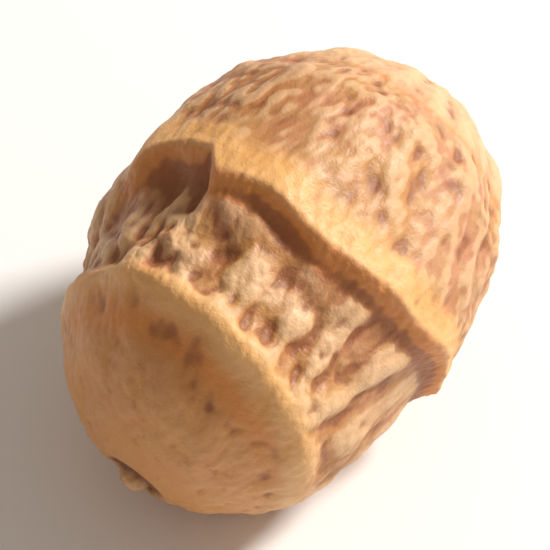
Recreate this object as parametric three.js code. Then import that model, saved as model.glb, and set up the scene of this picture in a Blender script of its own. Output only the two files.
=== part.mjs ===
// A dried tiger nut (the tuber of Cyperus esculentus), lying on its side.
// Millimetres, +Z up. The long axis runs along X: the stolon scar is at -X, the bud at +X.
// The tuber grew as one body, so it is one closed mesh: a surface wrapped round the long axis
// with a row coordinate s (0 at the stolon scar, 1 at the bud) and a turn angle phi
// (0 towards +Y, 90 degrees towards +Z).
import * as THREE from "three";

const { smoothstep, degToRad, lerp } = THREE.MathUtils;

// Driving dimensions.
const LENGTH = 14.3; // along the long axis, from the stolon end's dome to the bud end's shoulder
const NECK_RADIUS = 4.95; // the stolon half
const NECK_FULLNESS = 2.65; // superellipse exponent: 2 is an ellipsoid, more is blunter
const LOBE_RADIUS = 5.05; // the bud half
const LOBE_FULLNESS = 2.1;
const FLATTENING = 0.014; // height is less than width by about twice this share
const LOBING = { share: 0.012, count: 3, twist: 4 }; // slight three-sided bulging, turning along the axis
const BOW = { offset: 0.34, towards: degToRad(205) }; // both ends bend away from the middle this way

// The node rings, where scale leaves once sat. Each has a row, and swings along the axis as it goes round.
const RIM = {
  s: 0.175,
  swing: 0.038,
  swingTowards: degToRad(55),
  height: 0.3,
  width: 0.036,
  weakest: 0.3, // share of its height that is left opposite its strongest side
  strongestTowards: degToRad(95),
  grooveDepth: 0.13,
  grooveRow: 0.122,
};
const LEDGE = { s: 0.465, swing: 0.045, swingTowards: degToRad(235), jog: 0.05 };
const LEDGE_RIPPLES = [
  { swing: 0.018, folds: 3, phase: degToRad(240) },
  { swing: 0.005, folds: 8, phase: degToRad(40) },
];
const LEDGE_LIP = { low: 0.06, high: 0.27, highestTowards: degToRad(145), width: 0.085 };
const LEDGE_CRISP = { foot: 0.036, top: 0.016 }; // reach of the step along s, before and after its row
const LEDGE_SOFT = { foot: 0.07, top: 0.06 }; // the same where the ring has worn smooth
const LEDGE_CRISPEST = degToRad(135);
const LEDGE_TURNS_CRISP = [0.2, 0.6]; // how far round towards the crispest side the step sharpens, 0 to 1
const CROWN = { s: 0.745, swing: 0.02, swingTowards: degToRad(100), height: 0.1, width: 0.03 };
const RING_REACH = 0.12; // how far along the axis a ring's swing carries its neighbourhood

// The shrunken band between the rim and the ledge.
const WAIST = { s: 0.325, width: 0.11, depth: 0.08, extraDepth: 0.3, deepestTowards: degToRad(120) };

// A hollow under the ledge, which jogs towards the stolon end over it. Round the turn it has a gentle
// side and a steep wall.
const HOLLOW = {
  s: 0.41,
  reach: 0.085,
  depth: 0.5,
  gentleSide: [degToRad(30), degToRad(58)],
  steepWall: [degToRad(71), degToRad(79)],
};

// Local hollows (negative) and swellings (positive): row, angle, reach along s, reach in degrees, height.
const PATCHES = [
  { s: 0.4, phi: 86, along: 0.05, around: 9, height: 0.2 },
  { s: 0.285, phi: 78, along: 0.035, around: 9, height: 0.22 },
  { s: 0.445, phi: 103, along: 0.025, around: 10, height: -0.2 },
  { s: 0.2, phi: 48, along: 0.05, around: 10, height: -0.22 },
  { s: 0.1, phi: 118, along: 0.04, around: 26, height: -0.12 },
  { s: 0.25, phi: 22, along: 0.12, around: 26, height: -0.3 },
  { s: 0.09, phi: 165, along: 0.06, around: 45, height: -0.16 },
  { s: 0.62, phi: 120, along: 0.07, around: 40, height: -0.06 },
  { s: 0.35, phi: 250, along: 0.09, around: 30, height: -0.22 },
  { s: 0.7, phi: 318, along: 0.1, around: 26, height: -0.2 },
  { s: 0.6, phi: 15, along: 0.08, around: 22, height: -0.14 },
];

// Lengthwise furrows left by drying, deeper on the side turned away from leastTowards.
const FURROWS = [
  { count: 7, depth: 0.05, drift: 3.1, phase: 0.4 },
  { count: 11, depth: 0.045, drift: -4.2, phase: 2.2 },
  { count: 17, depth: 0.03, drift: 6.5, phase: 5.1 },
];
const FURROW_SPREAD = { most: 1.7, leastTowards: degToRad(120), startRow: 0.16, fullRow: 0.3 };
const FURROW_WOBBLE = { angle: 1.4, turns: 2, drift: 9 };

// The ends: the bud's sunken eye, and the stolon scar's nib in its sunken ring, off the long axis.
const BUD = { radius: 1.05, depth: 0.42 };
const SCAR = { offset: 1.1, towards: degToRad(292), radius: 0.36, height: 0.26 };
const SCAR_RING = { radius: 0.62, width: 0.2, depth: 0.2 };
const END_REACH = 0.1; // rows over which the ends' features blend into the flanks

// How it lies.
const REST_TILT = degToRad(7.6); // the stolon end is the lower one
const REST_FLAT_DEPTH = 0.26; // how much of the underside the flat it lies on takes away

// Mesh rows, as [first s, last s, rows], closer together at the scar and the ledge. The poles are rounded.
const ROW_BANDS = [
  [0.0003, 0.002, 3],
  [0.002, 0.026, 9],
  [0.026, 0.1, 4],
  [0.1, 0.24, 8],
  [0.24, LEDGE.s - LEDGE_CRISP.foot, 8],
  [LEDGE.s - LEDGE_CRISP.foot, LEDGE.s + LEDGE_CRISP.top, 5],
  [LEDGE.s + LEDGE_CRISP.top, 0.7, 7],
  [0.7, 0.8, 5],
  [0.8, 0.9, 4],
  [0.9, 0.992, 6],
  [0.992, 0.999, 3],
];
const TURN_STEPS = 72;

const hump = (x, centre, width) => Math.exp(-(((x - centre) / width) ** 2));
const towards = (phi, angle) => 0.5 + 0.5 * Math.cos(phi - angle);
const turnBetween = (a, b) => Math.atan2(Math.sin(a - b), Math.cos(a - b));

// 1 where the turn lies over the hollow, 0 well away from it.
function overHollow(phi) {
  const turn = turnBetween(phi, HOLLOW.gentleSide[1]) + HOLLOW.gentleSide[1];
  return smoothstep(turn, ...HOLLOW.gentleSide) * (1 - smoothstep(turn, ...HOLLOW.steepWall));
}

// Position along the axis, 0 to 1, of row s at angle phi.
function along(s, phi) {
  let ledge = LEDGE.swing * Math.cos(phi - LEDGE.swingTowards) + LEDGE.jog * overHollow(phi);
  for (const { swing, folds, phase } of LEDGE_RIPPLES) {
    ledge += swing * Math.cos(folds * phi - phase);
  }
  const rim = RIM.swing * Math.cos(phi - RIM.swingTowards) * smoothstep(s, 0, RIM.s);
  const crown = CROWN.swing * Math.cos(phi - CROWN.swingTowards) * smoothstep(1 - s, 0, 1 - CROWN.s);
  return (
    s +
    ledge * hump(s, LEDGE.s, RING_REACH) +
    rim * hump(s, RIM.s, RING_REACH) +
    crown * hump(s, CROWN.s, RING_REACH)
  );
}

const barrel = (t, radius, fullness) => radius * Math.sqrt(Math.max(0, 1 - Math.abs(2 * t - 1) ** fullness));

// The ledge's step: the row of its foot and the row of its top.
function ledgeSpan(phi) {
  const crisp = smoothstep(towards(phi, LEDGE_CRISPEST), ...LEDGE_TURNS_CRISP);
  return [
    LEDGE.s - lerp(LEDGE_SOFT.foot, LEDGE_CRISP.foot, crisp),
    LEDGE.s + lerp(LEDGE_SOFT.top, LEDGE_CRISP.top, crisp),
  ];
}

function patchesAt(s, phi) {
  let height = 0;
  for (const patch of PATCHES) {
    const turn = turnBetween(phi, degToRad(patch.phi)) / degToRad(patch.around);
    height += patch.height * hump(s, patch.s, patch.along) * Math.exp(-turn * turn);
  }
  return height;
}

function furrowsAt(s, phi) {
  const wobble = FURROW_WOBBLE.angle * Math.sin(FURROW_WOBBLE.turns * phi + FURROW_WOBBLE.drift * s);
  let height = 0;
  for (const { count, depth, drift, phase } of FURROWS) {
    height += depth * Math.sin(count * phi + drift * s + phase + wobble);
  }
  const share = lerp(FURROW_SPREAD.most, 1, towards(phi, FURROW_SPREAD.leastTowards));
  return height * share * smoothstep(s, FURROW_SPREAD.startRow, FURROW_SPREAD.fullRow);
}

// Distance from the long axis at row s and angle phi.
function radiusAt(s, phi) {
  const t = THREE.MathUtils.clamp(along(s, phi), 0, 1);
  const [foot, top] = ledgeSpan(phi);
  const onLobe = smoothstep(s, foot, top);
  const lipHeight = lerp(LEDGE_LIP.low, LEDGE_LIP.high, towards(phi, LEDGE_LIP.highestTowards));
  const lip = lipHeight * Math.exp(-Math.max(0, s - top) / LEDGE_LIP.width);
  const neck = barrel(t, NECK_RADIUS, NECK_FULLNESS);
  const lobe = barrel(t, LOBE_RADIUS, LOBE_FULLNESS) + lip;
  const lobing = LOBING.share * Math.cos(LOBING.count * phi + LOBING.twist * s);
  const roundness = 1 + FLATTENING * Math.cos(2 * phi) + lobing;
  const body = lerp(neck, lobe, onLobe) * roundness;

  const polar = smoothstep(Math.min(s, 1 - s), 0, END_REACH); // relief fades out at the poles
  const sink = WAIST.depth + WAIST.extraDepth * towards(phi, WAIST.deepestTowards) ** 2;
  const waist = -sink * hump(s, WAIST.s, WAIST.width) * (1 - onLobe);
  const rimSide = towards(phi, RIM.strongestTowards);
  const rim = RIM.height * hump(s, RIM.s, RIM.width) * lerp(RIM.weakest, 1, rimSide);
  const groove = -RIM.grooveDepth * hump(s, RIM.grooveRow, RIM.width) * rimSide;
  const crown = CROWN.height * hump(s, CROWN.s, CROWN.width);
  const hollow = -HOLLOW.depth * hump(s, HOLLOW.s, HOLLOW.reach) * overHollow(phi) * (1 - onLobe);
  return body + polar * (rim + groove + waist + crown + hollow + patchesAt(s, phi) + furrowsAt(s, phi));
}

// A point of the surface, in the tuber's own frame: long axis along X, middle at the origin.
function surfacePoint(s, phi) {
  const radius = radiusAt(s, phi);
  const y = radius * Math.cos(phi);
  const z = radius * Math.sin(phi);
  const fromScar = Math.hypot(
    y - SCAR.offset * Math.cos(SCAR.towards),
    z - SCAR.offset * Math.sin(SCAR.towards),
  );
  const nib = SCAR.height * Math.exp(-((fromScar / SCAR.radius) ** 4));
  const ring = SCAR_RING.depth * hump(fromScar, SCAR_RING.radius, SCAR_RING.width);
  const stolonEnd = (nib - ring) * (1 - smoothstep(s, 0, END_REACH));
  const eye = BUD.depth * Math.exp(-((radius / BUD.radius) ** 2)) * smoothstep(s, 1 - END_REACH, 1);
  const bow = BOW.offset * (2 * s - 1) ** 2;
  return new THREE.Vector3(
    LENGTH * (along(s, phi) - 0.5) - stolonEnd - eye,
    y + bow * Math.cos(BOW.towards),
    z + bow * Math.sin(BOW.towards),
  );
}

function rowPositions() {
  const rows = [ROW_BANDS[0][0]];
  for (const [first, last, count] of ROW_BANDS) {
    for (let i = 1; i <= count; i++) {
      rows.push(lerp(first, last, i / count));
    }
  }
  return rows;
}

// One closed surface: a pole, the rows of the grid, and the other pole.
function tuberGeometry() {
  const rows = rowPositions();
  const points = [surfacePoint(0, 0)];
  for (const s of rows) {
    for (let i = 0; i < TURN_STEPS; i++) {
      points.push(surfacePoint(s, (2 * Math.PI * i) / TURN_STEPS));
    }
  }
  points.push(surfacePoint(1, 0));

  const at = (row, turn) => 1 + row * TURN_STEPS + (turn % TURN_STEPS);
  const last = points.length - 1;
  const index = [];
  for (let i = 0; i < TURN_STEPS; i++) {
    index.push(0, at(0, i + 1), at(0, i));
    index.push(last, at(rows.length - 1, i), at(rows.length - 1, i + 1));
    for (let row = 0; row + 1 < rows.length; row++) {
      index.push(at(row, i), at(row, i + 1), at(row + 1, i));
      index.push(at(row + 1, i), at(row, i + 1), at(row + 1, i + 1));
    }
  }
  return new THREE.BufferGeometry().setFromPoints(points).setIndex(index);
}

// Lays the tuber down: the stolon end dips, and the underside is pressed flat where it touches z = 0.
function layDown(geometry) {
  geometry.rotateY(-REST_TILT);
  geometry.computeBoundingBox();
  geometry.translate(0, 0, -geometry.boundingBox.min.z - REST_FLAT_DEPTH);
  const position = geometry.getAttribute("position");
  for (let i = 0; i < position.count; i++) {
    position.setZ(i, Math.max(0, position.getZ(i)));
  }
  geometry.computeBoundingBox();
  const centre = geometry.boundingBox.getCenter(new THREE.Vector3());
  geometry.translate(-centre.x, -centre.y, 0);
  geometry.computeVertexNormals();
  return geometry;
}

const skin = new THREE.MeshStandardMaterial({ color: 0xc08a55, roughness: 0.6, metalness: 0 });

const tuber = new THREE.Mesh(layDown(tuberGeometry()), skin);
tuber.name = "tiger_nut";

const tigerNut = new THREE.Group();
tigerNut.name = "dried_tiger_nut";
tigerNut.add(tuber);

export default tigerNut;
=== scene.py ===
import math

import bpy
import numpy as np
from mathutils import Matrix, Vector


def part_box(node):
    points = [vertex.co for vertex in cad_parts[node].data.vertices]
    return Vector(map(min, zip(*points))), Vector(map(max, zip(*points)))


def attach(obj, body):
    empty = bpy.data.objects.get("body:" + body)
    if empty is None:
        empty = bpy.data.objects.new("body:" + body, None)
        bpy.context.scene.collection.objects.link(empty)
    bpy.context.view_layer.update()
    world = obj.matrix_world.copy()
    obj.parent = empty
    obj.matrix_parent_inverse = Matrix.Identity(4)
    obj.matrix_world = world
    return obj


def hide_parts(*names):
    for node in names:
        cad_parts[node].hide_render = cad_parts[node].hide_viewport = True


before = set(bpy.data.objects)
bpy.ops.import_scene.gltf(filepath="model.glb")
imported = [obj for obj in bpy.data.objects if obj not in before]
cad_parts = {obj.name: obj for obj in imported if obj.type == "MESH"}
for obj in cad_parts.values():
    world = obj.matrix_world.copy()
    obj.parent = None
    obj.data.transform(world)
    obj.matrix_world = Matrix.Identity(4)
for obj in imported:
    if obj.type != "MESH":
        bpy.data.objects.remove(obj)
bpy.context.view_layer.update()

MM = 0.001

# ---------------------------------------------------------------- the tuber's body, in millimetres
# The same surface as the CAD solid: rows s from the stolon scar (0) to the bud (1), and a turn
# angle phi (0 towards +Y, a quarter turn towards +Z).
LENGTH = 14.3
NECK_RADIUS = 4.95
NECK_FULLNESS = 2.65
LOBE_RADIUS = 5.05
LOBE_FULLNESS = 2.1
FLATTENING = 0.014
BOW = 0.34
BOW_TOWARDS = math.radians(205)

RIM_S = 0.175
RIM_SWING = 0.038
RIM_TOWARDS = math.radians(55)
RIM_HEIGHT = 0.3
RIM_WIDTH = 0.036
RIM_STRONGEST = math.radians(95)
RIM_GROOVE = 0.13
RIM_GROOVE_S = 0.122

LEDGE_S = 0.465
LEDGE_SWING = 0.045
LEDGE_TOWARDS = math.radians(235)
LEDGE_RIPPLES = ((0.018, 3, math.radians(240)), (0.005, 8, math.radians(40)))
LIP_LOW = 0.06
LIP_HIGH = 0.27
LIP_TOWARDS = math.radians(145)
LIP_WIDTH = 0.085
CRISP_FOOT = 0.036
CRISP_TOP = 0.016
SOFT_FOOT = 0.07
SOFT_TOP = 0.06
CRISPEST = math.radians(135)

CROWN_S = 0.745
CROWN_SWING = 0.02
CROWN_TOWARDS = math.radians(100)
CROWN_HEIGHT = 0.1
CROWN_WIDTH = 0.03
RING_REACH = 0.12

WAIST_S = 0.325
WAIST_WIDTH = 0.11
WAIST_DEPTH = 0.08
WAIST_EXTRA = 0.3
WAIST_TOWARDS = math.radians(120)

# The hollow under the ledge, with a gentle side and a steep wall, and the jog the ledge makes over it.
HOLLOW_S = 0.41
HOLLOW_REACH = 0.085
HOLLOW_DEPTH = 0.5
HOLLOW_GENTLE = (math.radians(30), math.radians(58))
HOLLOW_WALL = (math.radians(71), math.radians(79))
LEDGE_JOG = 0.05

# Row, angle in degrees, reach along s, reach in degrees, height.
PATCHES = (
    (0.40, 86, 0.05, 9, 0.2),
    (0.285, 78, 0.035, 9, 0.22),
    (0.445, 103, 0.025, 10, -0.2),
    (0.20, 48, 0.05, 10, -0.22),
    (0.1, 118, 0.04, 26, -0.12),
    (0.25, 22, 0.12, 26, -0.3),
    (0.09, 165, 0.06, 45, -0.16),
    (0.62, 120, 0.07, 40, -0.06),
    (0.35, 250, 0.09, 30, -0.22),
    (0.7, 318, 0.1, 26, -0.2),
    (0.6, 15, 0.08, 22, -0.14),
)
# Count, depth, drift, phase.
FURROWS_START = (0.16, 0.3)
FURROWS_MOST = 1.7
FURROWS_LEAST_TOWARDS = math.radians(120)
FURROWS = ((7, 0.05, 3.1, 0.4), (11, 0.045, -4.2, 2.2), (17, 0.03, 6.5, 5.1))

BUD_RADIUS = 1.05
BUD_DEPTH = 0.42
EYE_RADIUS = 0.62
END_REACH = 0.1  # rows over which what is at an end blends into the flanks
SCAR_OFFSET = 1.1
SCAR_TOWARDS = math.radians(292)
SCAR_RADIUS = 0.36
SCAR_HEIGHT = 0.26
MOAT_RADIUS = 0.62
MOAT_WIDTH = 0.2
MOAT_DEPTH = 0.2
REST_TILT = math.radians(7.6)
REST_FLAT_DEPTH = 0.26


def hump(x, centre, width):
    return np.exp(-(((x - centre) / width) ** 2))


def smoothstep(x, low, high):
    t = np.clip((x - low) / (high - low), 0.0, 1.0)
    return t * t * (3.0 - 2.0 * t)


def towards(phi, angle):
    return 0.5 + 0.5 * np.cos(phi - angle)


def turn_between(a, b):
    return np.arctan2(np.sin(a - b), np.cos(a - b))


def lerp(a, b, t):
    return a + (b - a) * t


def in_hollow(phi):
    turn = turn_between(phi, HOLLOW_GENTLE[1]) + HOLLOW_GENTLE[1]
    return smoothstep(turn, *HOLLOW_GENTLE) * (1.0 - smoothstep(turn, *HOLLOW_WALL))


def along(s, phi):
    ledge = LEDGE_SWING * np.cos(phi - LEDGE_TOWARDS) + LEDGE_JOG * in_hollow(phi)
    for swing, folds, phase in LEDGE_RIPPLES:
        ledge = ledge + swing * np.cos(folds * phi - phase)
    rim = RIM_SWING * np.cos(phi - RIM_TOWARDS)
    crown = CROWN_SWING * np.cos(phi - CROWN_TOWARDS)
    return (
        s
        + ledge * hump(s, LEDGE_S, RING_REACH)
        + rim * hump(s, RIM_S, RING_REACH) * smoothstep(s, 0.0, RIM_S)
        + crown * hump(s, CROWN_S, RING_REACH) * smoothstep(1.0 - s, 0.0, 1.0 - CROWN_S)
    )


def barrel(t, radius, fullness):
    return radius * np.sqrt(np.maximum(0.0, 1.0 - np.abs(2.0 * t - 1.0) ** fullness))


def ledge_span(phi):
    crisp = smoothstep(towards(phi, CRISPEST), 0.2, 0.6)
    return LEDGE_S - lerp(SOFT_FOOT, CRISP_FOOT, crisp), LEDGE_S + lerp(SOFT_TOP, CRISP_TOP, crisp)


def radius_at(s, phi):
    t = np.clip(along(s, phi), 0.0, 1.0)
    foot, top = ledge_span(phi)
    on_lobe = smoothstep(s, foot, top)
    lip_height = lerp(LIP_LOW, LIP_HIGH, towards(phi, LIP_TOWARDS))
    lip = lip_height * np.exp(-np.maximum(0.0, s - top) / LIP_WIDTH)
    neck = barrel(t, NECK_RADIUS, NECK_FULLNESS)
    lobe = barrel(t, LOBE_RADIUS, LOBE_FULLNESS) + lip
    roundness = 1.0 + FLATTENING * np.cos(2.0 * phi) + 0.012 * np.cos(3.0 * phi + 4.0 * s)
    body = lerp(neck, lobe, on_lobe) * roundness

    polar = smoothstep(np.minimum(s, 1.0 - s), 0.0, END_REACH)
    sink = WAIST_DEPTH + WAIST_EXTRA * towards(phi, WAIST_TOWARDS) ** 2
    waist = -sink * hump(s, WAIST_S, WAIST_WIDTH) * (1.0 - on_lobe)
    rim = RIM_HEIGHT * hump(s, RIM_S, RIM_WIDTH) * (0.3 + 0.7 * towards(phi, RIM_STRONGEST))
    groove = -RIM_GROOVE * hump(s, RIM_GROOVE_S, RIM_WIDTH) * towards(phi, RIM_STRONGEST)
    crown = CROWN_HEIGHT * hump(s, CROWN_S, CROWN_WIDTH)
    hollow = -HOLLOW_DEPTH * hump(s, HOLLOW_S, HOLLOW_REACH) * in_hollow(phi) * (1.0 - on_lobe)
    patches = 0.0
    for row, angle, reach, around, height in PATCHES:
        turn = turn_between(phi, math.radians(angle)) / math.radians(around)
        patches = patches + height * hump(s, row, reach) * np.exp(-turn * turn)
    furrows = 0.0
    for count, depth, drift, phase in FURROWS:
        wobble = 1.4 * np.sin(2.0 * phi + 9.0 * s)
        furrows = furrows + depth * np.sin(count * phi + drift * s + phase + wobble)
    furrows = furrows * smoothstep(s, *FURROWS_START)
    furrows = furrows * lerp(FURROWS_MOST, 1.0, towards(phi, FURROWS_LEAST_TOWARDS))
    return body + polar * (rim + groove + waist + crown + hollow + patches + furrows)


def from_scar(s, phi):
    """Distance from the middle of the stolon scar, seen along the tuber."""
    radius = radius_at(s, phi)
    across = radius * np.cos(phi) - SCAR_OFFSET * math.cos(SCAR_TOWARDS)
    up = radius * np.sin(phi) - SCAR_OFFSET * math.sin(SCAR_TOWARDS)
    return np.hypot(across, up)


def surface(s, phi):
    radius = radius_at(s, phi)
    scar = from_scar(s, phi)
    nib = SCAR_HEIGHT * np.exp(-((scar / SCAR_RADIUS) ** 4))
    nib = nib - MOAT_DEPTH * hump(scar, MOAT_RADIUS, MOAT_WIDTH)
    nib = nib * (1.0 - smoothstep(s, 0.0, END_REACH))
    eye = BUD_DEPTH * np.exp(-((radius / BUD_RADIUS) ** 2)) * smoothstep(s, 0.9, 1.0)
    x = LENGTH * (along(s, phi) - 0.5) - nib - eye
    bow = BOW * (2.0 * s - 1.0) ** 2
    y = radius * np.cos(phi) + bow * math.cos(BOW_TOWARDS)
    z = radius * np.sin(phi) + bow * math.sin(BOW_TOWARDS)
    return np.stack([x, y, z], 1)


# ---------------------------------------------------------------- an even mesh to carry the fine relief
FREQUENCY = 95  # each of the icosahedron's 20 faces becomes this number squared of triangles


def geodesic_sphere(frequency):
    """Points and triangles of an evenly divided icosahedron with two corners on the X axis."""
    ring_x = 1.0 / math.sqrt(5.0)
    ring_r = 2.0 / math.sqrt(5.0)
    corners = [(-1.0, 0.0, 0.0)]
    for start, x in ((0.0, -ring_x), (math.pi / 5.0, ring_x)):
        for k in range(5):
            a = start + 2.0 * math.pi * k / 5.0
            corners.append((x, ring_r * math.cos(a), ring_r * math.sin(a)))
    corners.append((1.0, 0.0, 0.0))
    corners = np.array(corners)
    faces = []
    for k in range(5):
        low, next_low = 1 + k, 1 + (k + 1) % 5
        high, next_high = 6 + k, 6 + (k + 1) % 5
        faces += [(0, next_low, low), (low, next_low, high)]
        faces += [(next_low, next_high, high), (high, next_high, 11)]
    n = frequency
    grid = [(i, j) for i in range(n + 1) for j in range(n + 1 - i)]
    number = {key: k for k, key in enumerate(grid)}
    cell = []
    for i in range(n):
        for j in range(n - i):
            cell.append((number[i, j], number[i + 1, j], number[i, j + 1]))
            if i + j < n - 1:
                cell.append((number[i + 1, j], number[i + 1, j + 1], number[i, j + 1]))
    cell = np.array(cell)
    grid = np.array(grid, float) / n
    points = []
    triangles = []
    for k, (a, b, c) in enumerate(faces):
        u, v = grid[:, :1], grid[:, 1:]
        points.append(corners[a] * (1.0 - u - v) + corners[b] * u + corners[c] * v)
        triangles.append(cell + k * len(grid))
    points = np.concatenate(points)
    points /= np.linalg.norm(points, axis=1, keepdims=True)
    triangles = np.concatenate(triangles)
    _, first, back = np.unique(np.round(points, 6), axis=0, return_index=True, return_inverse=True)
    points = points[first]
    triangles = back.reshape(-1)[triangles]
    a, b, c = (points[triangles[:, k]] for k in range(3))
    inward = (np.cross(b - a, c - a) * a).sum(1) < 0
    triangles[inward] = triangles[inward][:, ::-1]
    return points, triangles


def neighbour_table(count, triangles):
    """Each vertex's neighbours, six a row; the icosahedron's corners repeat one of their five."""
    pairs = np.concatenate([triangles[:, [0, 1]], triangles[:, [1, 2]], triangles[:, [2, 0]]])
    pairs = pairs[np.argsort(pairs[:, 0], kind="stable")]
    start = np.searchsorted(pairs[:, 0], np.arange(count))
    degree = np.bincount(pairs[:, 0], minlength=count)
    slot = start[:, None] + np.minimum(np.arange(6), degree[:, None] - 1)
    return pairs[slot, 1]


def vertex_normals(points, triangles):
    a, b, c = (points[triangles[:, k]] for k in range(3))
    face = np.cross(b - a, c - a)
    total = np.zeros_like(points)
    for k in range(3):
        for axis in range(3):
            total[:, axis] += np.bincount(triangles[:, k], face[:, axis], len(points))
    return total / np.linalg.norm(total, axis=1, keepdims=True)


sphere, triangles = geodesic_sphere(FREQUENCY)
neighbours = neighbour_table(len(sphere), triangles)
phi = np.arctan2(sphere[:, 2], sphere[:, 1])
v = np.clip(0.5 + 0.5 * sphere[:, 0], 0.0, 1.0)
CROWDING = 0.55  # how much closer together the mesh's points are at the ledge
CROWDING_REACH = 0.05
s = v - CROWDING * (v - LEDGE_S) * hump(v, LEDGE_S, CROWDING_REACH)
points = surface(s, phi)
scar = from_scar(s, phi)
eye = radius_at(s, phi)


# ---------------------------------------------------------------- wrinkles, grown on the mesh
LENGTHWISE = 4.0
RING_BARRIER = 0.12
FIRMNESS = 1.1
crisp = smoothstep(towards(phi, CRISPEST), 0.2, 0.6)
RINGS = ((RIM_S, towards(phi, RIM_STRONGEST)), (LEDGE_S, crisp), (CROWN_S, np.full(len(points), 0.25)))


def spreading_weights(points):
    """How strongly each neighbour pulls: more along the tuber than round it, and less across a ring."""
    edge = points[neighbours] - points[:, None, :]
    square = np.maximum((edge**2).sum(2), 1e-12)
    lengthwise = edge[:, :, 0] ** 2 / square
    weight = (1.0 + LENGTHWISE * lengthwise) / square
    for ring, strength in RINGS:
        crosses = (s[neighbours] > ring) != (s > ring)[:, None]
        weight = np.where(crosses, weight * lerp(1.0, RING_BARRIER, strength)[:, None], weight)
    return weight / weight.sum(1, keepdims=True)


def spread(values, weights, passes, pull=0.5):
    for _ in range(passes):
        values = values + pull * ((weights * values[neighbours]).sum(1) - values)
    return values


def folds(seed, weights, passes, rounds, pull):
    """A field of crests and creases that wind about, one width apart, as a drying skin's do."""
    field = np.random.default_rng(seed).standard_normal(len(points))
    for _ in range(rounds):
        near = spread(field, weights, passes, pull)
        far = spread(near, weights, 2 * passes, pull)
        difference = near - far
        field = np.tanh(FIRMNESS * difference / difference.std())
    return spread(field, weights, max(2, passes // 5), pull)


def creased(field, sharpness):
    """Rounds the crests and narrows the creases."""
    return field - sharpness * (field**2)


FLANK_TOWARDS = math.radians(186)  # the side where the waist has few large wrinkles
FLANK_REACH = math.radians(26)
weights = spreading_weights(points)
on_cap = 1.0 - smoothstep(s, RIM_S - 0.06, RIM_S + 0.01)
foot, top = ledge_span(phi)
on_lobe = smoothstep(s, foot, top)
on_waist = (1.0 - on_cap) * (1.0 - on_lobe)
on_end = smoothstep(s, CROWN_S + 0.04, CROWN_S + 0.14)
on_flank = hump(turn_between(phi, FLANK_TOWARDS), 0.0, FLANK_REACH)
on_wall = crisp * smoothstep(s, foot - 0.012, foot + 0.008) * (1.0 - smoothstep(s, top - 0.016, top + 0.004))
on_lip = crisp * smoothstep(s, top - 0.014, top + 0.006) * (1.0 - smoothstep(s, top + 0.04, top + 0.085))
pull = 0.5 - 0.15 * on_waist
large = folds(3, weights, 40, 3, pull)
small = folds(5, weights, 11, 2, pull)
tiny = folds(7, weights, 3, 2, pull)
lumps = folds(13, weights, 110, 2, 0.5)

# Broad patches where the small wrinkles are stronger or weaker.
PATCHY_PASSES = 260
patchy = spread(np.random.default_rng(11).standard_normal(len(points)), weights, PATCHY_PASSES)
patchy = patchy / patchy.std()

CREASE_SHARPNESS = 0.22
LUMP_HEIGHT = 0.05
LARGE_HEIGHT = 0.052
SMALL_HEIGHT = 0.02
TINY_HEIGHT = 0.008
on_rim = hump(s, RIM_S, 0.03)
smoothed = 1.0 - 0.8 * on_rim - 0.75 * np.maximum(on_wall, 0.8 * on_lip)
at_foot = crisp * smoothstep(s, foot - 0.07, foot) * (1.0 - on_lobe)
lump_share = (0.3 * on_cap + 1.1 * on_waist * (1.0 - 0.6 * at_foot) + 0.6 * on_lobe) * smoothed
large_on_waist = 0.75 * on_waist * (1.0 - 0.6 * at_foot) * (1.0 - 0.55 * on_flank)
large_on_lobe = 0.4 * on_lobe * (1.0 - 0.5 * on_end)
large_share = (0.35 * on_cap + large_on_waist + large_on_lobe) * smoothed
small_on_waist = 0.42 * on_waist * (1.0 - 0.5 * at_foot)
small_on_lobe = 0.62 * on_lobe * (1.0 - 0.6 * on_end)
small_share = (0.28 * on_cap + small_on_waist + small_on_lobe) * smoothed
small_share = small_share * np.clip(1.0 + 0.35 * patchy, 0.35, 1.7)
tiny_share = 0.8 * on_cap + 0.9 * on_waist + 1.0 * on_lobe

# Small pits where root hairs broke off: a loose ring at the crown, and more scattered over lobe and waist.
SPOT_BANDS = (  # count, middle row, spread of rows
    (34, CROWN_S, 0.02),
    (22, 0.63, 0.07),
    (18, 0.31, 0.045),
)
SPOT_REACH = (0.13, 0.24)
SPOT_DEPTH = 0.05
pick = np.random.default_rng(23)
in_spot = np.zeros(len(points))
for count, row, rows in SPOT_BANDS:
    for k in range(count):
        spot_s = pick.normal(row, rows)
        spot_phi = pick.uniform(0.0, 2.0 * math.pi)
        reach = pick.uniform(*SPOT_REACH)
        middle = surface(np.array([spot_s]), np.array([spot_phi]))
        distance = np.linalg.norm(points - middle, axis=1)
        in_spot = np.maximum(in_spot, hump(distance, 0.0, reach) * pick.uniform(0.4, 1.0))

polar = smoothstep(np.minimum(s, 1.0 - s), 0.003, 0.03)


def unit(field):
    return field / field.std()


# The skin is drawn into pleats round the bud's eye.
PLEATS = ((9, 0.06, 0.7), (14, 0.035, 2.9))  # count, height, phase
PLEAT_RING = 1.15
PLEAT_REACH = 0.6
pleat_wander = 0.9 * np.sin(3.0 * phi)
pleats = sum(height * np.cos(count * phi + phase + pleat_wander) for count, height, phase in PLEATS)
pleats = pleats * hump(eye, PLEAT_RING, PLEAT_REACH) * (s > 0.9)

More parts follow.
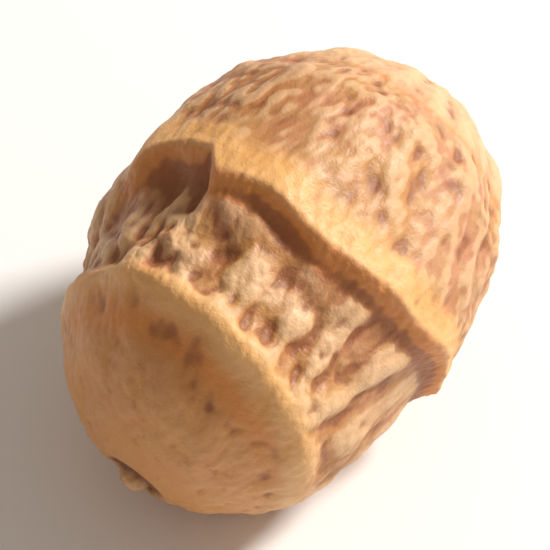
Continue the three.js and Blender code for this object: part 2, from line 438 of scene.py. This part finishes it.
# The broken stolon leaves a frayed stump.
FRAY = ((7, 0.035, 0.4), (12, 0.02, 1.9))  # count, height, phase
FRAY_RING = 0.42
FRAY_REACH = 0.22
above_scar = points[:, 2] - SCAR_OFFSET * math.sin(SCAR_TOWARDS)
beside_scar = points[:, 1] - SCAR_OFFSET * math.cos(SCAR_TOWARDS)
round_scar = np.arctan2(above_scar, beside_scar)
fray = sum(height * np.cos(count * round_scar + phase + 5.0 * scar) for count, height, phase in FRAY)
fray = fray * hump(scar, FRAY_RING, FRAY_REACH) * (s < 0.1)
relief = pleats + fray - SPOT_DEPTH * in_spot + polar * (
    LUMP_HEIGHT * lump_share * unit(lumps)
    + LARGE_HEIGHT * large_share * creased(unit(large), CREASE_SHARPNESS)
    + SMALL_HEIGHT * small_share * creased(unit(small), CREASE_SHARPNESS)
    + TINY_HEIGHT * tiny_share * unit(tiny)
)
normals = vertex_normals(points, triangles)
points = points + normals * relief[:, None]

# Orange-brown bands: painted warm shade below the rim, on its cap side facing away from the light, and a
# thin line above the crown.
rim_foot_shade = hump(s, RIM_S - 0.05, 0.02) * smoothstep(towards(phi, RIM_STRONGEST), 0.5, 0.9)
above_crown = hump(s, CROWN_S + 0.085, 0.008) * smoothstep(towards(phi, CRISPEST), 0.5, 0.9)
rim_shade_and_crown_line = np.maximum(0.75 * rim_foot_shade, 0.5 * above_crown)

# Where the skin has browned; the first entry is painted shade on the lobe's top left, where the surface
# faces away from the light.
STAINS_AND_SHADE = (  # row, angle in degrees, reach along s, reach in degrees, strength
    (0.64, 66, 0.12, 26, 0.75),
    (0.13, 105, 0.05, 25, 0.35),
    (0.56, 215, 0.1, 40, 0.4),
    (0.8, 300, 0.09, 40, 0.5),
)
stain_and_shade = np.zeros(len(points))
for row, angle, reach, around, strength in STAINS_AND_SHADE:
    turn = turn_between(phi, math.radians(angle)) / math.radians(around)
    stain_and_shade = np.maximum(stain_and_shade, strength * hump(s, row, reach) * np.exp(-turn * turn))

# The ledge's edge curls over the waist.
OVERHANG = 0.03
points[:, 0] -= OVERHANG * crisp * hump(s, LEDGE_S + 0.012, 0.012)

EVEN_WEIGHTS = np.full(neighbours.shape, 1.0 / 6.0)


def cavity(points, passes):
    """How far each point lies below the average of its surroundings, in millimetres."""
    smooth = np.stack([spread(points[:, k], EVEN_WEIGHTS, passes, 0.9) for k in range(3)], 1)
    return ((smooth - points) * vertex_normals(points, triangles)).sum(1)


# The skin's material paints shade in the creases and hollows, and highlights on the crests, from these two.
fine_cavity = spread(cavity(points, 10), EVEN_WEIGHTS, 2, 0.9)
broad_cavity = cavity(points, 90)


# ---------------------------------------------------------------- lay it down in the frame
def laid_down(points):
    x, y, z = points.T
    c, k = math.cos(REST_TILT), math.sin(REST_TILT)
    return np.stack([x * c - z * k, y, x * k + z * c], 1)


low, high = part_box("tiger_nut")
placed = laid_down(points)
lift = -placed[:, 2].min() - REST_FLAT_DEPTH
placed[:, 2] = np.maximum(placed[:, 2] + lift, 0.0)
middle = (placed.min(0) + placed.max(0)) / 2.0
shift = np.array([500.0 * (low.x + high.x) - middle[0], 500.0 * (low.y + high.y) - middle[1], 0.0])
placed = placed + shift


def in_frame(points):
    return laid_down(points) + shift + (0.0, 0.0, lift)


mesh = bpy.data.meshes.new("tiger_nut_skin")
mesh.from_pydata((placed * MM).tolist(), [], triangles.tolist())
mesh.polygons.foreach_set("use_smooth", np.ones(len(triangles), bool))
for name, values in (
    ("fine_cavity", fine_cavity),
    ("broad_cavity", broad_cavity),
    ("on_cap", on_cap),
    ("on_end", on_end),
    ("on_rim", on_rim * (0.3 + 0.7 * towards(phi, RIM_STRONGEST))),
    ("in_moat", (s < 0.1) * hump(scar, MOAT_RADIUS, 1.3 * MOAT_WIDTH)),
    ("on_nub", (s < 0.1) * np.exp(-((scar / SCAR_RADIUS) ** 6))),
    ("on_wall", on_wall),
    ("on_lip", on_lip),
    ("in_spot", in_spot),
    ("stain_and_shade", stain_and_shade),
    ("lumps", unit(lumps) * on_waist),
    ("rim_shade_and_crown_line", rim_shade_and_crown_line),
    ("in_eye", (s > 0.9) * np.exp(-((eye / EYE_RADIUS) ** 4))),
):
    attribute = mesh.attributes.new(name, "FLOAT", "POINT")
    attribute.data.foreach_set("value", values.astype(np.float32))
skin = bpy.data.objects.new("tiger_nut_skin", mesh)
bpy.context.scene.collection.objects.link(skin)


# ---------------------------------------------------------------- dry scale fibres round the bud's eye
FIBRE_COUNT = 44
FIBRE_RINGS = (0.2, 0.75)
FIBRE_LENGTH = (0.2, 0.5)
FIBRE_HALF_WIDTH = 0.085
FIBRE_STEPS = 7
FIBRE_SIDES = 5
FIBRE_ROOT = 0.1  # how deep a fibre's root sits in the skin


def fibre(root, lean, bend, length, half_width):
    """A flat tapering blade from root, along lean and curling towards bend: its points and faces."""
    across = np.cross(lean, bend)
    across /= np.linalg.norm(across)
    rings = []
    for k in range(FIBRE_STEPS):
        f = k / (FIBRE_STEPS - 1)
        heading = lean + bend * f
        middle = root + length * f * heading / np.linalg.norm(heading)
        flat = np.cross(across, heading / np.linalg.norm(heading))
        width = half_width * (1.0 - 0.9 * f**1.5)
        for side in range(FIBRE_SIDES):
            a = 2.0 * math.pi * side / FIBRE_SIDES
            rings.append(middle + width * (math.cos(a) * across + 0.4 * math.sin(a) * flat))
    faces = [tuple(range(FIBRE_SIDES))]
    for k in range(FIBRE_STEPS - 1):
        for side in range(FIBRE_SIDES):
            a, b = k * FIBRE_SIDES + side, k * FIBRE_SIDES + (side + 1) % FIBRE_SIDES
            faces.append((b, a, a + FIBRE_SIDES, b + FIBRE_SIDES))
    faces.append(tuple(reversed(range((FIBRE_STEPS - 1) * FIBRE_SIDES, FIBRE_STEPS * FIBRE_SIDES))))
    return np.array(rings), faces


def fibre_tuft():
    draw = np.random.default_rng(31)
    eye_middle = surface(np.array([1.0]), np.array([0.0]))[0]
    bud_side = points[s > 0.9]
    all_points, all_faces, tips = [], [], []
    for _ in range(FIBRE_COUNT):
        a = draw.uniform(0.0, 2.0 * math.pi)
        out = np.array([0.0, math.cos(a), math.sin(a)])
        spot = eye_middle + out * draw.uniform(*FIBRE_RINGS)
        nearest = np.argmin(((bud_side - spot)[:, 1:] ** 2).sum(1))
        root = bud_side[nearest] - (FIBRE_ROOT, 0.0, 0.0)
        lean = np.array([0.7, 0.0, 0.0]) + out * draw.uniform(-0.4, 0.7) + draw.normal(0.0, 0.25, 3)
        bend = out * draw.uniform(0.3, 1.6) + draw.normal(0.0, 0.3, 3)
        length = draw.uniform(*FIBRE_LENGTH)
        verts, faces = fibre(root, lean, bend, length, FIBRE_HALF_WIDTH * draw.uniform(0.5, 1.0))
        first = sum(len(p) for p in all_points)
        all_points.append(verts)
        all_faces += [tuple(first + i for i in face) for face in faces]
        tips.append(np.repeat(np.linspace(0.0, 1.0, FIBRE_STEPS), FIBRE_SIDES) * draw.uniform(0.4, 1.0))
    return np.concatenate(all_points), all_faces, np.concatenate(tips)


tuft_points, tuft_faces, tuft_tips = fibre_tuft()
tuft_mesh = bpy.data.meshes.new("bud_fibres")
tuft_mesh.from_pydata((in_frame(tuft_points) * MM).tolist(), [], tuft_faces)
tuft_mesh.polygons.foreach_set("use_smooth", np.ones(len(tuft_faces), bool))
tuft_mesh.attributes.new("tip", "FLOAT", "POINT").data.foreach_set("value", tuft_tips.astype(np.float32))
tuft = bpy.data.objects.new("bud_fibres", tuft_mesh)
bpy.context.scene.collection.objects.link(tuft)


# ---------------------------------------------------------------- the skin's material
def linear(red, green, blue):
    """An sRGB colour of 0 to 255 as the shader's linear one."""
    return tuple((((c / 255.0 + 0.055) / 1.055) ** 2.4) for c in (red, green, blue)) + (1.0,)


PALE = linear(226, 185, 140)
TAN = linear(194, 146, 98)
ROSE = linear(188, 126, 92)
OCHRE = linear(190, 136, 72)
BROWN = linear(166, 104, 52)
SHADE_AND_LINE_ORANGE = linear(212, 132, 58)
RIM_HIGHLIGHT_GOLD = linear(240, 180, 104)
SHADE_AND_PIT_BROWN = linear(134, 74, 42)
CAP_TAN = linear(214, 150, 86)
SCAR_BROWN = linear(66, 38, 24)
NUB_PALE = linear(206, 176, 132)


class Nodes:
    """A material's node tree, with short ways to add what this script uses."""

    def __init__(self, name):
        self.material = bpy.data.materials.new(name)
        self.material.use_nodes = True
        self.tree = self.material.node_tree
        self.shader = self.tree.nodes["Principled BSDF"]

    def add(self, kind, **settings):
        node = self.tree.nodes.new(kind)
        for key, value in settings.items():
            setattr(node, key, value)
        return node

    def link(self, source, target):
        self.tree.links.new(source, target)

    def attribute(self, name):
        return self.add("ShaderNodeAttribute", attribute_name=name).outputs["Fac"]

    def place(self):
        return self.add("ShaderNodeTexCoord").outputs["Object"]

    def noise(self, size_mm, detail=3.0, roughness=0.6, distortion=0.0):
        node = self.add("ShaderNodeTexNoise")
        node.inputs["Scale"].default_value = 1.0 / (size_mm * MM)
        node.inputs["Detail"].default_value = detail
        node.inputs["Roughness"].default_value = roughness
        node.inputs["Distortion"].default_value = distortion
        self.link(self.place(), node.inputs["Vector"])
        return node.outputs["Fac"]

    def span(self, value, low, high, new_low=0.0, new_high=1.0):
        node = self.add("ShaderNodeMapRange", interpolation_type="SMOOTHSTEP")
        node.inputs["From Min"].default_value = low
        node.inputs["From Max"].default_value = high
        node.inputs["To Min"].default_value = new_low
        node.inputs["To Max"].default_value = new_high
        self.link(value, node.inputs["Value"])
        return node.outputs["Result"]

    def math(self, operation, a, b):
        node = self.add("ShaderNodeMath", operation=operation)
        for socket, value in zip(node.inputs, (a, b)):
            if isinstance(value, (int, float)):
                socket.default_value = value
            else:
                self.link(value, socket)
        return node.outputs["Value"]

    def mix(self, factor, a, b):
        node = self.add("ShaderNodeMix", data_type="RGBA")
        sockets = [i for i in node.inputs if i.type == "RGBA"]
        self.link(factor, node.inputs["Factor"])
        for socket, value in zip(sockets, (a, b)):
            if isinstance(value, tuple):
                socket.default_value = value
            else:
                self.link(value, socket)
        return next(o for o in node.outputs if o.type == "RGBA")


def skin_material():
    n = Nodes("skin")
    fine = n.attribute("fine_cavity")
    broad = n.attribute("broad_cavity")
    mottle = n.noise(0.9, detail=4.0)
    blotch = n.noise(2.6, detail=2.0)
    on_cap = n.attribute("on_cap")
    colour = n.mix(n.span(mottle, 0.38, 0.62), TAN, ROSE)
    colour = n.mix(n.span(blotch, 0.42, 0.66, 0.0, 0.75), colour, OCHRE)
    colour = n.mix(n.math("MULTIPLY", on_cap, 0.7), colour, CAP_TAN)
    freckle = n.span(n.noise(0.5, detail=3.0), 0.55, 0.75)
    colour = n.mix(n.math("MULTIPLY", freckle, n.math("MULTIPLY", on_cap, 0.4)), colour, BROWN)
    colour = n.mix(n.math("MULTIPLY", n.attribute("on_end"), 0.55), colour, PALE)
    # Browned skin, and painted shade on the lobe's top left.
    browned_and_shaded = n.math("MULTIPLY", n.attribute("stain_and_shade"), n.span(mottle, 0.2, 0.6, 0.6, 1.0))
    colour = n.mix(browned_and_shaded, colour, BROWN)
    # Painted highlight: the crests of the fine wrinkles are made paler, as where light catches them.
    crest_highlight_share = n.math("SUBTRACT", 0.55, n.math("MULTIPLY", on_cap, 0.45))
    painted_crest_highlight = n.math("MULTIPLY", n.span(fine, 0.0, -0.012), crest_highlight_share)
    colour = n.mix(painted_crest_highlight, colour, PALE)
    pale_lump = n.span(n.attribute("lumps"), 0.1, 1.2, 0.0, 0.6)
    colour = n.mix(pale_lump, colour, PALE)
    red_dip = n.span(n.attribute("lumps"), -0.4, -1.5, 0.0, 0.45)
    colour = n.mix(red_dip, colour, BROWN)
    # Painted highlight: the rim's crest and the ledge's lip are made pale gold, as where light catches these
    # edges.
    painted_ring_highlight = n.math("MAXIMUM", n.attribute("on_rim"), n.attribute("on_lip"))
    colour = n.mix(n.math("MULTIPLY", painted_ring_highlight, 0.65), colour, RIM_HIGHLIGHT_GOLD)
    # Painted warm shade below the rim, and the thin line above the crown.
    colour = n.mix(n.attribute("rim_shade_and_crown_line"), colour, SHADE_AND_LINE_ORANGE)
    # Painted warm shade: the wall under the ledge is orange-brown, as scattered light looks where the wall
    # is in shade.
    colour = n.mix(n.math("MULTIPLY", n.attribute("on_wall"), 0.8), colour, SHADE_AND_LINE_ORANGE)
    worn = n.noise(0.45, detail=3.0)
    dark_ring = n.math("MULTIPLY", n.attribute("in_moat"), n.span(worn, 0.3, 0.6, 0.35, 0.95))
    colour = n.mix(dark_ring, colour, SCAR_BROWN)
    pale_nub = n.math("MULTIPLY", n.attribute("on_nub"), n.span(worn, 0.35, 0.6, 0.75, 0.3))
    colour = n.mix(pale_nub, colour, NUB_PALE)
    colour = n.mix(n.math("MULTIPLY", n.attribute("in_eye"), 0.9), colour, SCAR_BROWN)
    # Painted shade: the broad hollows are darkened towards brown, as where less light reaches.
    hollow = n.span(n.math("ADD", broad, n.math("MULTIPLY", mottle, 0.05)), 0.03, 0.2, 0.0, 0.42)
    colour = n.mix(hollow, colour, BROWN)
    # Painted shade: the creases of the fine wrinkles are darkened, as where less light reaches.
    painted_crease_shade = n.span(n.math("ADD", fine, n.math("MULTIPLY", mottle, 0.006)), 0.007, 0.024, 0.0, 0.65)
    colour = n.mix(painted_crease_shade, colour, SHADE_AND_PIT_BROWN)
    colour = n.mix(n.math("MULTIPLY", n.attribute("in_spot"), 0.7), colour, SHADE_AND_PIT_BROWN)
    n.link(colour, n.shader.inputs["Base Color"])
    n.link(n.span(n.noise(0.25), 0.3, 0.7, 0.42, 0.62), n.shader.inputs["Roughness"])
    grain = n.math("ADD", n.noise(0.09, detail=4.0), n.math("MULTIPLY", n.noise(0.3, detail=3.0), 1.5))
    bump = n.add("ShaderNodeBump")
    bump.inputs["Strength"].default_value = 0.7
    bump.inputs["Distance"].default_value = 0.03 * MM
    n.link(grain, bump.inputs["Height"])
    n.link(bump.outputs["Normal"], n.shader.inputs["Normal"])
    return n.material


def fibre_material():
    n = Nodes("fibre")
    streak = n.math("ADD", n.attribute("tip"), n.math("MULTIPLY", n.noise(0.2, detail=3.0), 0.4))
    n.link(n.mix(n.span(streak, 0.15, 0.7), SCAR_BROWN, NUB_PALE), n.shader.inputs["Base Color"])
    n.shader.inputs["Roughness"].default_value = 0.7
    return n.material


mesh.materials.append(skin_material())
tuft_mesh.materials.append(fibre_material())

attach(skin, "root")
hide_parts("tiger_nut")
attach(tuft, "root")

# ---------------------------------------------------------------- floor, light, camera
floor_mesh = bpy.data.meshes.new("floor")
FLOOR_REACH = 2.0
corners = [(x * FLOOR_REACH, y * FLOOR_REACH, 0) for x, y in ((-1, -1), (1, -1), (1, 1), (-1, 1))]
floor_mesh.from_pydata(corners, [], [(0, 1, 2, 3)])
floor = bpy.data.objects.new("floor", floor_mesh)
bpy.context.scene.collection.objects.link(floor)
floor_material = bpy.data.materials.new("floor")
floor_material.use_nodes = True
floor_shader = floor_material.node_tree.nodes["Principled BSDF"]
floor_shader.inputs["Base Color"].default_value = (0.9, 0.9, 0.9, 1)
floor_shader.inputs["Roughness"].default_value = 0.9
floor_mesh.materials.append(floor_material)

CAMERA_AZIMUTH = math.radians(-55.5)
CAMERA_ELEVATION = math.radians(50.0)
FRAME_WIDTH = 15.05 * MM
LENS = 250.0
SENSOR = 36.0
centre = Vector((-0.12, 0.12, 4.72)) * MM
distance = FRAME_WIDTH * LENS / SENSOR
back = Vector((
    math.sin(CAMERA_AZIMUTH) * math.cos(CAMERA_ELEVATION),
    -math.cos(CAMERA_AZIMUTH) * math.cos(CAMERA_ELEVATION),
    math.sin(CAMERA_ELEVATION),
))
camera_data = bpy.data.cameras.new("camera")
camera_data.lens = LENS
camera_data.sensor_width = SENSOR
camera_data.clip_start = 0.001
camera = bpy.data.objects.new("camera", camera_data)
camera.location = centre + back * distance
camera.rotation_euler = back.to_track_quat("Z", "Y").to_euler()
bpy.context.scene.collection.objects.link(camera)
bpy.context.scene.camera = camera


def direction(azimuth, elevation):
    """Unit vector towards a place, from azimuth right of the camera's line and elevation."""
    a = CAMERA_AZIMUTH + math.radians(azimuth)
    e = math.radians(elevation)
    return Vector((math.sin(a) * math.cos(e), -math.cos(a) * math.cos(e), math.sin(e)))


def area_light(name, towards_light, distance, size, power, colour):
    data = bpy.data.lights.new(name, "AREA")
    data.shape = "DISK"
    data.size = size
    data.energy = power
    data.color = colour
    lamp = bpy.data.objects.new(name, data)
    lamp.location = centre + towards_light * distance
    lamp.rotation_euler = towards_light.to_track_quat("Z", "Y").to_euler()
    bpy.context.scene.collection.objects.link(lamp)


area_light("key", direction(112, 40), 0.3, 0.07, 1.22, (1.0, 0.97, 0.93))
world = bpy.data.worlds.new("world")
world.use_nodes = True
world.node_tree.nodes["Background"].inputs["Color"].default_value = (1.0, 0.88, 0.77, 1)
world.node_tree.nodes["Background"].inputs["Strength"].default_value = 0.36
bpy.context.scene.world = world
bpy.context.scene.view_settings.view_transform = "Standard"
